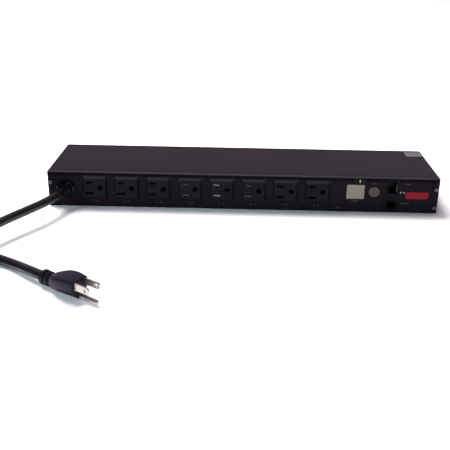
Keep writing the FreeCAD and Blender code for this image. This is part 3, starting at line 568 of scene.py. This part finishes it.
def nose_profile():
    """A taper with shallow rings that let it bend, and a rounded end at the cord."""
    profile = list(NOSE_ROOT)
    for ring in range(RINGS):
        start = RING_START + RING_PITCH * ring
        outer = RING_R - RING_TAPER * start
        profile += [(start + along, outer + change) for along, change in RING_SHAPE]
    return profile + [(NOSE_LENGTH - back, radius) for back, radius in NOSE_END]


def strain_relief():
    """The collar on the face, and the nose that leads the cord out to the left."""
    bm = bmesh.new()
    lathe(bm, mm(GLAND[0], 0, GLAND[1]), Vector((0, -1, 0)), COLLAR)
    heading = Vector((-math.sin(NOSE_TURN), -math.cos(NOSE_TURN), 0))
    lathe(bm, mm(GLAND[0], -NOSE_START, GLAND[1]), heading, nose_profile())
    piece = mesh_object("cord_relief", bm, 40)
    finish_piece(piece, "case", finishes["relief_rubber"])
    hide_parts("strain_relief")
    return piece


# ---- Plug ---------------------------------------------------------------------------------------
PLUG_FACE = (-138.2, -215.2)               # the middle of its face
PLUG_HEADING = math.radians(-33.8)
PLUG_AXIS_Z = 8.2                          # height of the cord where it enters
SECTION_POINTS = 56


def plug_place(along, across, z):
    """A point on the plug: along its axis from the face, across it, and its height."""
    heading = Vector((math.cos(PLUG_HEADING), math.sin(PLUG_HEADING), 0))
    left = Vector((-heading.y, heading.x, 0))
    return mm(*PLUG_FACE, z) + (heading * along + left * across) * MM


def plug_section(along, half, z0, z1, waist, top_power, low_power):
    """One station: a squared upper part at the blades over a rounded one at the ground pin."""
    points = []
    for k in range(SECTION_POINTS):
        turn = 2 * math.pi * (k + 0.5) / SECTION_POINTS
        power = 2 / (top_power if k < SECTION_POINTS / 2 else low_power)
        parts = math.cos(turn), math.sin(turn)
        across, rise = (math.copysign(abs(part) ** power, part) for part in parts)
        z = waist + (z1 - waist if rise > 0 else waist - z0) * rise
        points.append(plug_place(along, half * across, z))
    return points


def round_station(along, radius):
    """A round section about the cord's axis."""
    return (along, radius, PLUG_AXIS_Z - radius, PLUG_AXIS_Z + radius, PLUG_AXIS_Z, 2.0, 2.0)


# Along from the face, half width, lowest point, highest point, height of the widest level, and how
# square the section is above and below that level.
GRIP_STATIONS = [
    (-33.6, 6.5, 1.7, 15.0, 8.4, 2.1, 2.1), (-32.0, 7.4, 1.4, 15.9, 9.0, 2.3, 2.0),
    (-29.0, 8.9, 1.0, 17.2, 10.4, 2.7, 1.9), (-25.5, 10.2, 0.7, 18.4, 12.0, 3.2, 1.8),
    (-21.0, 11.2, 0.5, 19.5, 13.6, 3.8, 1.7), (-16.0, 11.4, 0.45, 20.1, 14.6, 4.4, 1.65),
    (-10.0, 11.0, 0.45, 20.3, 15.2, 4.8, 1.6), (-5.0, 10.3, 0.45, 20.1, 15.3, 5.0, 1.6),
    (-1.2, 9.7, 0.5, 19.8, 15.3, 5.2, 1.6), (-0.5, 9.5, 0.7, 19.6, 15.3, 5.2, 1.6),
    (0.0, 8.9, 1.3, 19.0, 15.2, 5.2, 1.6),
]
CORD_END = (-46.4, 4.9)                    # along, radius
RIBS = [(-46.0, -41.6, 7.1), (-39.9, -36.2, 6.9)]      # from, to, radius
RIB_EDGE, RIB_DROP = 0.5, 0.7              # how far the edges round off along the rib, and inwards
NECK_FROM, NECK_TO, NECK_R = 0.15, 1.4, 5.7            # after each rib


def plug_stations():
    """From the cord's end: two round ribs, each with a neck after it, then the grip."""
    stations = [round_station(*CORD_END)]
    for start, end, radius in RIBS:
        stations += [round_station(start, radius - RIB_DROP), round_station(start + RIB_EDGE, radius),
                     round_station(end - RIB_EDGE, radius), round_station(end, radius - RIB_DROP),
                     round_station(end + NECK_FROM, NECK_R), round_station(end + NECK_TO, NECK_R)]
    return stations + GRIP_STATIONS


def plug_grip():
    """The moulded grip, on the plug's body."""
    bm = bmesh.new()
    loft(bm, [plug_section(*station) for station in plug_stations()])
    piece = mesh_object("plug_grip", bm, 38)
    finish_piece(piece, "case", finishes["plug_vinyl"])
    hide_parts("plug_body")
    return piece


# ---- Tie round the coil -------------------------------------------------------------------------
TIE_THICK, TIE_HALF = 0.8, 8.0             # the strap's thickness and half its width
TIE_EDGE = 0.25                            # how far its edges are cut back
TIE_SLACK = 0.4                            # gap at the coil's middle
TIE_RISE = 0.85                            # how much of the turns' rise over the strap it follows
TIE_LAP, LAP_EDGE = (9.0, 33.0), 0.3       # where the free end lies, from the strap's outer end
LAP_HALF = TIE_HALF - 0.2
CORNER_STEPS = 8


def cord_tie():
    """A strap closed round the coil's turns, its free end lapped on top."""
    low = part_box("coil_tie")[0]
    x0, x1 = low[0] / MM + TIE_THICK, COIL_CENTRE[0] - COIL_IN + CORD_R + TIE_SLACK
    z0, z1 = TIE_THICK, TOP_Z + CORD_R + TIE_LIFT * TIE_RISE
    outline = rounded_outline(x0, x1, z0, z1, CORD_R)
    section = [(-TIE_HALF, TIE_THICK - TIE_EDGE), (-TIE_HALF + TIE_EDGE, TIE_THICK),
               (TIE_HALF - TIE_EDGE, TIE_THICK), (TIE_HALF, TIE_THICK - TIE_EDGE),
               (TIE_HALF, TIE_EDGE), (-TIE_HALF, TIE_EDGE)]
    loops = [[place_out(point, out, across) for point in outline] for across, out in section]
    bm = bmesh.new()
    loft(bm, loops, round_again=True)
    block(bm, mm(x0 + TIE_LAP[0], COIL_CENTRE[1] - LAP_HALF, z1 + TIE_THICK),
          mm(x0 + TIE_LAP[1], COIL_CENTRE[1] + LAP_HALF, z1 + 2 * TIE_THICK), LAP_EDGE)
    piece = mesh_object("cord_tie", bm, 50)
    finish_piece(piece, "case", finishes["tie_fabric"])
    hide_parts("coil_tie")
    return piece


def rounded_outline(x0, x1, z0, z1, radius):
    """Points and outward directions round a rounded rectangle."""
    outline = []
    for x, z, start in ((x1, z0, -90), (x1, z1, 0), (x0, z1, 90), (x0, z0, 180)):
        centre_x = x - radius if x == x1 else x + radius
        centre_z = z - radius if z == z1 else z + radius
        for k in range(CORNER_STEPS + 1):
            turn = math.radians(start + 90 * k / CORNER_STEPS)
            out = (math.cos(turn), math.sin(turn))
            outline.append((centre_x + radius * out[0], centre_z + radius * out[1], out))
    return outline


def place_out(point, out, across):
    """A point of the strap: out from the outline, and across the strap's width."""
    x, z, heading = point
    return mm(x + heading[0] * out, COIL_CENTRE[1] + across, z + heading[1] * out)


# ---- Front panel details ------------------------------------------------------------------------
DIGIT_OFFSET, SPACING, LONG_HALF, WIDE_HALF = 4.1, 2.6, 2.0, 0.5
FLAT_SEGMENTS = [(0, row * SPACING, LONG_HALF, WIDE_HALF) for row in (2, 0, -2)]
UPRIGHT_SEGMENTS = [(side * SPACING, row * SPACING, WIDE_HALF, LONG_HALF)
                    for row in (1, -1) for side in (-1, 1)]
SEGMENT_BACK, SEGMENT_FRONT = -0.05, 0.1   # from the display's face, outwards


def display_digits():
    """Two seven-segment digits, unlit, on the display's face."""
    low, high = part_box("display_window")
    face = (low[1] - FACE_Y) / MM
    middle_x, z = (low[0] + high[0]) / 2 / MM, (low[2] + high[2]) / 2 / MM
    bm = bmesh.new()
    for x in (middle_x - DIGIT_OFFSET, middle_x + DIGIT_OFFSET):
        for dx, dz, half_x, half_z in FLAT_SEGMENTS + UPRIGHT_SEGMENTS:
            block(bm, mm(x + dx - half_x, face + SEGMENT_BACK, z + dz - half_z),
                  mm(x + dx + half_x, face + SEGMENT_FRONT, z + dz + half_z))
    unlit = moulded("unlit_segment", (0.166, 0.145, 0.11), (0.183, 0.16, 0.12), 0.35, 500)
    finish_piece(mesh_object("display_digits", bm), "case", unlit)


LIT_BAR, LIT_PORTS = (130.8, 37.3), ((177.0, 24.8), (180.6, 24.8))      # x, z of the lamps that are on
BAR_HALF, BAR_DEPTH, BAR_EDGE = (0.75, 1.9), (-0.12, 0.2), 0.15
PORT_START = 0.3
PORT_CAP = [(0, 0.95), (0.3, 0.95), (0.55, 0.7), (0.65, 0.3)]           # out, radius


def lit_lamps():
    """Caps over the lamps that are on: one load bar and both port lights."""
    front = (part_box("panel_indicators")[0][1] - FACE_Y) / MM
    bm = bmesh.new()
    (x, z), (half_x, half_z) = LIT_BAR, BAR_HALF
    block(bm, mm(x - half_x, front + BAR_DEPTH[0], z - half_z),
          mm(x + half_x, front + BAR_DEPTH[1], z + half_z), BAR_EDGE)
    for x, z in LIT_PORTS:
        lathe(bm, mm(x, front + PORT_START, z), Vector((0, -1, 0)), PORT_CAP, 20)
    lit = moulded("lit_lens", (0.28, 0.29, 0.17), (0.36, 0.37, 0.22), 0.2, 300)
    finish_piece(mesh_object("lit_lamps", bm, 40), "case", lit)


NUMBER_SIZE, NUMBER_THICK = 0.0034, 0.00002
NUMBER_OFFSET, NUMBER_OUT, NUMBER_Z = -2.6, -0.02, 5.8      # from the block's middle, the face, the floor


def outlet_numbers():
    """The outlet numbers 1 to 8, printed beside the lamps under the outlets."""
    stand = Matrix.Rotation(math.radians(90), 4, "X")
    bm = bmesh.new()
    for number in range(1, 9):
        low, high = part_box(f"outlet_{number}")
        curve = bpy.data.curves.new("digit", "FONT")
        curve.body, curve.size, curve.extrude = str(number), NUMBER_SIZE, NUMBER_THICK
        curve.align_x = "CENTER"
        text = bpy.data.objects.new("digit", curve)
        mesh = bpy.data.meshes.new_from_object(text)
        x = (low[0] + high[0]) / 2 / MM + NUMBER_OFFSET
        mesh.transform(Matrix.Translation(mm(x, NUMBER_OUT, NUMBER_Z)) @ stand)
        bm.from_mesh(mesh)
        bpy.data.objects.remove(text)
        bpy.data.meshes.remove(mesh)
    finish_piece(mesh_object("outlet_numbers", bm), "case", printed_ink())


def printed_ink():
    return moulded("printed_ink", (0.03, 0.028, 0.032), (0.042, 0.039, 0.043), 0.5, 900)


PRINTED_LINES = [                          # x, z, half the length
    (126.7, 13.4, 4.4), (147.3, 34.3, 3.2), (183.0, 11.5, 5.0), (184.0, 34.8, 2.6), (109.0, 4.8, 2.4),
]
INK_HALF, INK_DEPTH = 0.35, (-0.04, 0.1)


def panel_print():
    """Short printed lines that stand for the panel's small captions."""
    bm = bmesh.new()
    for x, z, half in PRINTED_LINES:
        block(bm, mm(x - half, INK_DEPTH[0], z - INK_HALF), mm(x + half, INK_DEPTH[1], z + INK_HALF))
    finish_piece(mesh_object("panel_print", bm), "case", printed_ink())


add_camera()
add_lights()
add_floor()
dress_cad_nodes()
cord_piece(strain_relief(), plug_grip(), cord_tie())
display_digits()
lit_lamps()
outlet_numbers()
panel_print()
